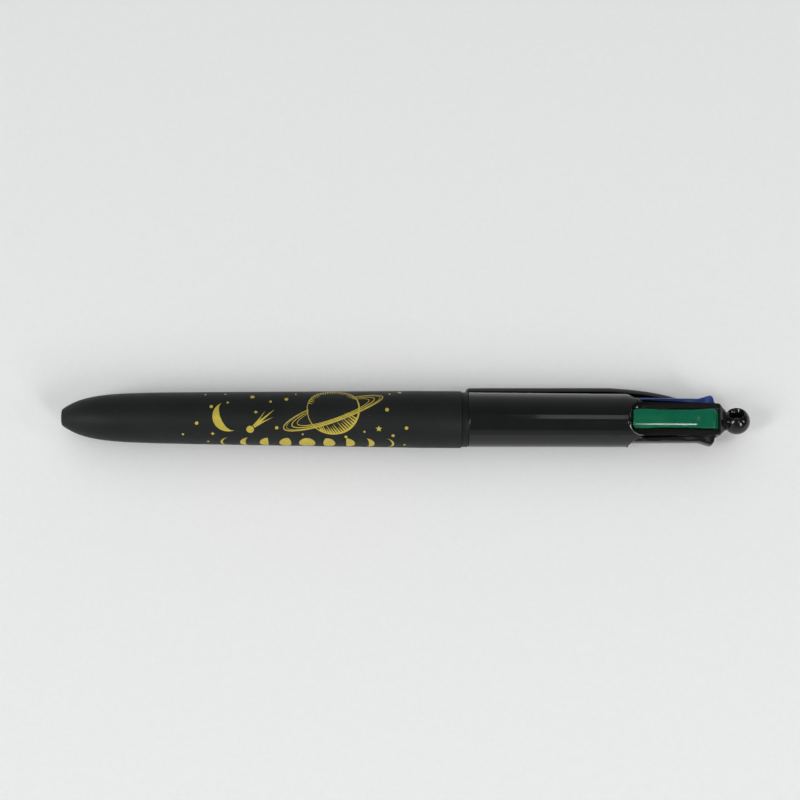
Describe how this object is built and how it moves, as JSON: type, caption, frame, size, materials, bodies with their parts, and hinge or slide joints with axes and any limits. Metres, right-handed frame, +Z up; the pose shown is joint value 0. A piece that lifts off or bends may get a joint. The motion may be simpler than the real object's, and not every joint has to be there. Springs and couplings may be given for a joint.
{
  "type": "four-colour click pen",
  "caption": "Retractable ballpoint pen with coloured thumb sliders, a sprung clip, a screw-off tapered barrel and a round end knob.",
  "frame": {"origin": "on the pen's axis, at the plane where the lower barrel meets the upper barrel, which is the rear end of the round holder band", "axes": "X along the pen with the writing tip at -X and the end knob at +X; +Z up as the pen lies on a table, on its barrel and on the edge of its clip"},
  "size_m": [0.1461, 0.0145, 0.0121],
  "materials": {
    "soft_touch_black": "matte soft-touch lacquer",
    "collar_black": "satin moulded plastic",
    "gloss_black": "polished moulded plastic",
    "guide_plastic": "satin moulded plastic",
    "spring_steel": "drawn wire",
    "tip_brass": "turned",
    "ball_carbide": "polished",
    "refill_clear": "clear to milky extruded tube",
    "holder_plastic": "moulded",
    "tab_blue": "gloss moulded",
    "ink_blue": "wet",
    "tab_green": "gloss moulded",
    "ink_green": "wet",
    "tab_red": "gloss moulded",
    "ink_red": "wet",
    "tab_black": "gloss moulded",
    "ink_black": "wet"
  },
  "bodies": {
    "pen_body": {"upper_barrel": "gloss_black", "joint_collar": "collar_black", "end_knob": "gloss_black", "refill_guide": "guide_plastic", "spring_blue": "spring_steel", "spring_green": "spring_steel", "spring_red": "spring_steel", "spring_black": "spring_steel"},
    "lower_barrel": {"lower_barrel": "soft_touch_black"},
    "clip": {"clip": "gloss_black"},
    "slider_blue": {"slider_blue": "tab_blue", "refill_tube_blue": "refill_clear", "ink_blue": "ink_blue", "tip_holder_blue": "holder_plastic", "refill_tip_blue": "tip_brass", "writing_ball_blue": "ball_carbide"},
    "slider_green": {"slider_green": "tab_green", "refill_tube_green": "refill_clear", "ink_green": "ink_green", "tip_holder_green": "holder_plastic", "refill_tip_green": "tip_brass", "writing_ball_green": "ball_carbide"},
    "slider_red": {"slider_red": "tab_red", "refill_tube_red": "refill_clear", "ink_red": "ink_red", "tip_holder_red": "holder_plastic", "refill_tip_red": "tip_brass", "writing_ball_red": "ball_carbide"},
    "slider_black": {"slider_black": "tab_black", "refill_tube_black": "refill_clear", "ink_black": "ink_black", "tip_holder_black": "holder_plastic", "refill_tip_black": "tip_brass", "writing_ball_black": "ball_carbide"}
  },
  "joints": [
    {"name": "slider_blue_slide", "type": "slide", "parent": "pen_body", "child": "slider_blue", "axis": [-1, 0, 0], "range_m": [0, 0.009], "stiffness_N_per_m": 60, "springref_m": -0.01, "deforming": ["spring_blue"]},
    {"name": "slider_green_slide", "type": "slide", "parent": "pen_body", "child": "slider_green", "axis": [-1, 0, 0], "range_m": [0, 0.009], "stiffness_N_per_m": 60, "springref_m": -0.01, "deforming": ["spring_green"]},
    {"name": "slider_red_slide", "type": "slide", "parent": "pen_body", "child": "slider_red", "axis": [-1, 0, 0], "range_m": [0, 0.009], "stiffness_N_per_m": 60, "springref_m": -0.01, "deforming": ["spring_red"]},
    {"name": "slider_black_slide", "type": "slide", "parent": "pen_body", "child": "slider_black", "axis": [-1, 0, 0], "range_m": [0, 0.009], "stiffness_N_per_m": 60, "springref_m": -0.01, "deforming": ["spring_black"]},
    {"name": "lower_barrel_pull_off", "type": "slide", "parent": "pen_body", "child": "lower_barrel", "axis": [-1, 0, 0], "range_m": [0, 0.09]},
    {"name": "clip_flex", "type": "hinge", "parent": "pen_body", "child": "clip", "pos_m": [0.0542, 0.00379, -0.00213], "axis": [0, -0.4893, -0.8721], "range_deg": [0, 4], "stiffness_Nm_per_rad": 0.05}
  ]
}
